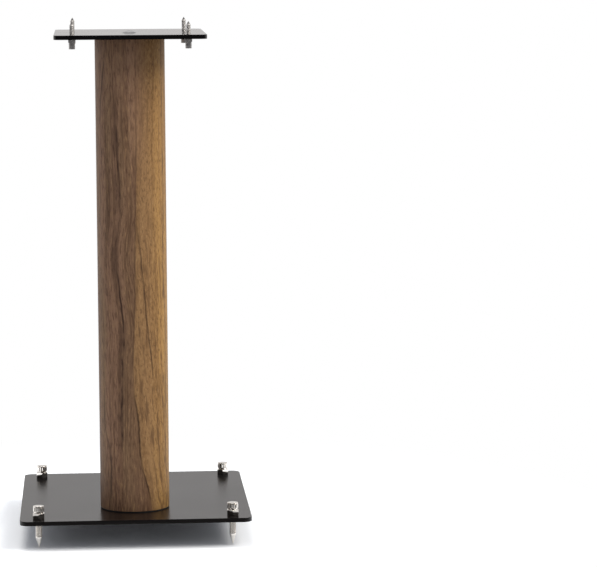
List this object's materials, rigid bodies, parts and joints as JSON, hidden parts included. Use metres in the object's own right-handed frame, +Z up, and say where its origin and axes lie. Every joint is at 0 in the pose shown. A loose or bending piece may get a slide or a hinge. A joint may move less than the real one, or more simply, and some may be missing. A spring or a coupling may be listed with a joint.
{
  "type": "speaker stand",
  "caption": "Speaker stand: rounded black base and top plates on a round walnut column, with adjustable floor spikes and top spikes locked by nuts.",
  "frame": {"origin": "on the floor, under the middle of the base plate", "axes": "+Z up, +Y to the back, +X to the right seen from the front"},
  "size_m": [0.265, 0.3, 0.6],
  "materials": {
    "black_lacquer": "satin",
    "gloss_black": "gloss",
    "walnut": "satin",
    "fibreboard": "matte",
    "gasket_rubber": "matte",
    "bright_nickel": "polished",
    "plain_steel": "zinc plated"
  },
  "bodies": {
    "stand": {"base_plate": "black_lacquer", "top_plate": "gloss_black", "column": "walnut", "bottom_gasket": "gasket_rubber", "top_gasket": "gasket_rubber", "bottom_plug": "fibreboard", "top_plug": "fibreboard", "bottom_locating_pin": "plain_steel", "top_locating_pin": "plain_steel", "tie_rod": "plain_steel", "tie_rod_head": "plain_steel", "tie_rod_washer": "plain_steel", "tie_rod_nut": "plain_steel"},
    "floor_spike_front_left": {"floor_spike_front_left": "bright_nickel"},
    "thumb_nut_front_left": {"thumb_nut_front_left": "bright_nickel"},
    "floor_lock_nut_front_left": {"floor_lock_nut_front_left": "bright_nickel"},
    "floor_spike_front_right": {"floor_spike_front_right": "bright_nickel"},
    "thumb_nut_front_right": {"thumb_nut_front_right": "bright_nickel"},
    "floor_lock_nut_front_right": {"floor_lock_nut_front_right": "bright_nickel"},
    "floor_spike_back_left": {"floor_spike_back_left": "bright_nickel"},
    "thumb_nut_back_left": {"thumb_nut_back_left": "bright_nickel"},
    "floor_lock_nut_back_left": {"floor_lock_nut_back_left": "bright_nickel"},
    "floor_spike_back_right": {"floor_spike_back_right": "bright_nickel"},
    "thumb_nut_back_right": {"thumb_nut_back_right": "bright_nickel"},
    "floor_lock_nut_back_right": {"floor_lock_nut_back_right": "bright_nickel"},
    "top_spike_front_left": {"top_spike_front_left": "bright_nickel"},
    "top_lock_nut_front_left": {"top_lock_nut_front_left": "bright_nickel"},
    "top_spike_front_right": {"top_spike_front_right": "bright_nickel"},
    "top_lock_nut_front_right": {"top_lock_nut_front_right": "bright_nickel"},
    "top_spike_back_left": {"top_spike_back_left": "bright_nickel"},
    "top_lock_nut_back_left": {"top_lock_nut_back_left": "bright_nickel"},
    "top_spike_back_right": {"top_spike_back_right": "bright_nickel"},
    "top_lock_nut_back_right": {"top_lock_nut_back_right": "bright_nickel"}
  },
  "joints": [
    {"name": "floor_spike_lift_front_left", "type": "slide", "parent": "stand", "child": "floor_spike_front_left", "axis": [0, 0, 1], "range_m": [0, 0.0125]},
    {"name": "thumb_nut_turn_front_left", "type": "hinge", "parent": "floor_spike_front_left", "child": "thumb_nut_front_left", "pos_m": [-0.111, -0.1285, 0.0454], "axis": [0, 0, 1], "range_deg": [0, 3600]},
    {"name": "floor_lock_nut_turn_front_left", "type": "hinge", "parent": "stand", "child": "floor_lock_nut_front_left", "pos_m": [-0.111, -0.1285, 0.03825], "axis": [0, 0, 1], "continuous": true},
    {"name": "floor_spike_lift_front_right", "type": "slide", "parent": "stand", "child": "floor_spike_front_right", "axis": [0, 0, 1], "range_m": [0, 0.0125]},
    {"name": "thumb_nut_turn_front_right", "type": "hinge", "parent": "floor_spike_front_right", "child": "thumb_nut_front_right", "pos_m": [0.111, -0.1285, 0.0454], "axis": [0, 0, 1], "range_deg": [0, 3600]},
    {"name": "floor_lock_nut_turn_front_right", "type": "hinge", "parent": "stand", "child": "floor_lock_nut_front_right", "pos_m": [0.111, -0.1285, 0.03825], "axis": [0, 0, 1], "continuous": true},
    {"name": "floor_spike_lift_back_left", "type": "slide", "parent": "stand", "child": "floor_spike_back_left", "axis": [0, 0, 1], "range_m": [0, 0.0125]},
    {"name": "thumb_nut_turn_back_left", "type": "hinge", "parent": "floor_spike_back_left", "child": "thumb_nut_back_left", "pos_m": [-0.111, 0.1285, 0.0454], "axis": [0, 0, 1], "range_deg": [0, 3600]},
    {"name": "floor_lock_nut_turn_back_left", "type": "hinge", "parent": "stand", "child": "floor_lock_nut_back_left", "pos_m": [-0.111, 0.1285, 0.03825], "axis": [0, 0, 1], "continuous": true},
    {"name": "floor_spike_lift_back_right", "type": "slide", "parent": "stand", "child": "floor_spike_back_right", "axis": [0, 0, 1], "range_m": [0, 0.0125]},
    {"name": "thumb_nut_turn_back_right", "type": "hinge", "parent": "floor_spike_back_right", "child": "thumb_nut_back_right", "pos_m": [0.111, 0.1285, 0.0454], "axis": [0, 0, 1], "range_deg": [0, 3600]},
    {"name": "floor_lock_nut_turn_back_right", "type": "hinge", "parent": "stand", "child": "floor_lock_nut_back_right", "pos_m": [0.111, 0.1285, 0.03825], "axis": [0, 0, 1], "continuous": true},
    {"name": "top_spike_drop_front_left", "type": "slide", "parent": "stand", "child": "top_spike_front_left", "axis": [0, 0, 1], "range_m": [-0.01, 0]},
    {"name": "top_lock_nut_turn_front_left", "type": "hinge", "parent": "stand", "child": "top_lock_nut_front_left", "pos_m": [-0.0655, -0.1295, 0.5785], "axis": [0, 0, 1], "continuous": true},
    {"name": "top_spike_drop_front_right", "type": "slide", "parent": "stand", "child": "top_spike_front_right", "axis": [0, 0, 1], "range_m": [-0.01, 0]},
    {"name": "top_lock_nut_turn_front_right", "type": "hinge", "parent": "stand", "child": "top_lock_nut_front_right", "pos_m": [0.0655, -0.1295, 0.5785], "axis": [0, 0, 1], "continuous": true},
    {"name": "top_spike_drop_back_left", "type": "slide", "parent": "stand", "child": "top_spike_back_left", "axis": [0, 0, 1], "range_m": [-0.01, 0]},
    {"name": "top_lock_nut_turn_back_left", "type": "hinge", "parent": "stand", "child": "top_lock_nut_back_left", "pos_m": [-0.0655, 0.0355, 0.5785], "axis": [0, 0, 1], "continuous": true},
    {"name": "top_spike_drop_back_right", "type": "slide", "parent": "stand", "child": "top_spike_back_right", "axis": [0, 0, 1], "range_m": [-0.01, 0]},
    {"name": "top_lock_nut_turn_back_right", "type": "hinge", "parent": "stand", "child": "top_lock_nut_back_right", "pos_m": [0.0655, 0.0355, 0.5785], "axis": [0, 0, 1], "continuous": true}
  ],
  "couplings": [
    {"joint": "thumb_nut_turn_front_left", "follows": "floor_spike_lift_front_left", "rad_per_m": 5026.5},
    {"joint": "thumb_nut_turn_front_right", "follows": "floor_spike_lift_front_right", "rad_per_m": 5026.5},
    {"joint": "thumb_nut_turn_back_left", "follows": "floor_spike_lift_back_left", "rad_per_m": 5026.5},
    {"joint": "thumb_nut_turn_back_right", "follows": "floor_spike_lift_back_right", "rad_per_m": 5026.5}
  ]
}
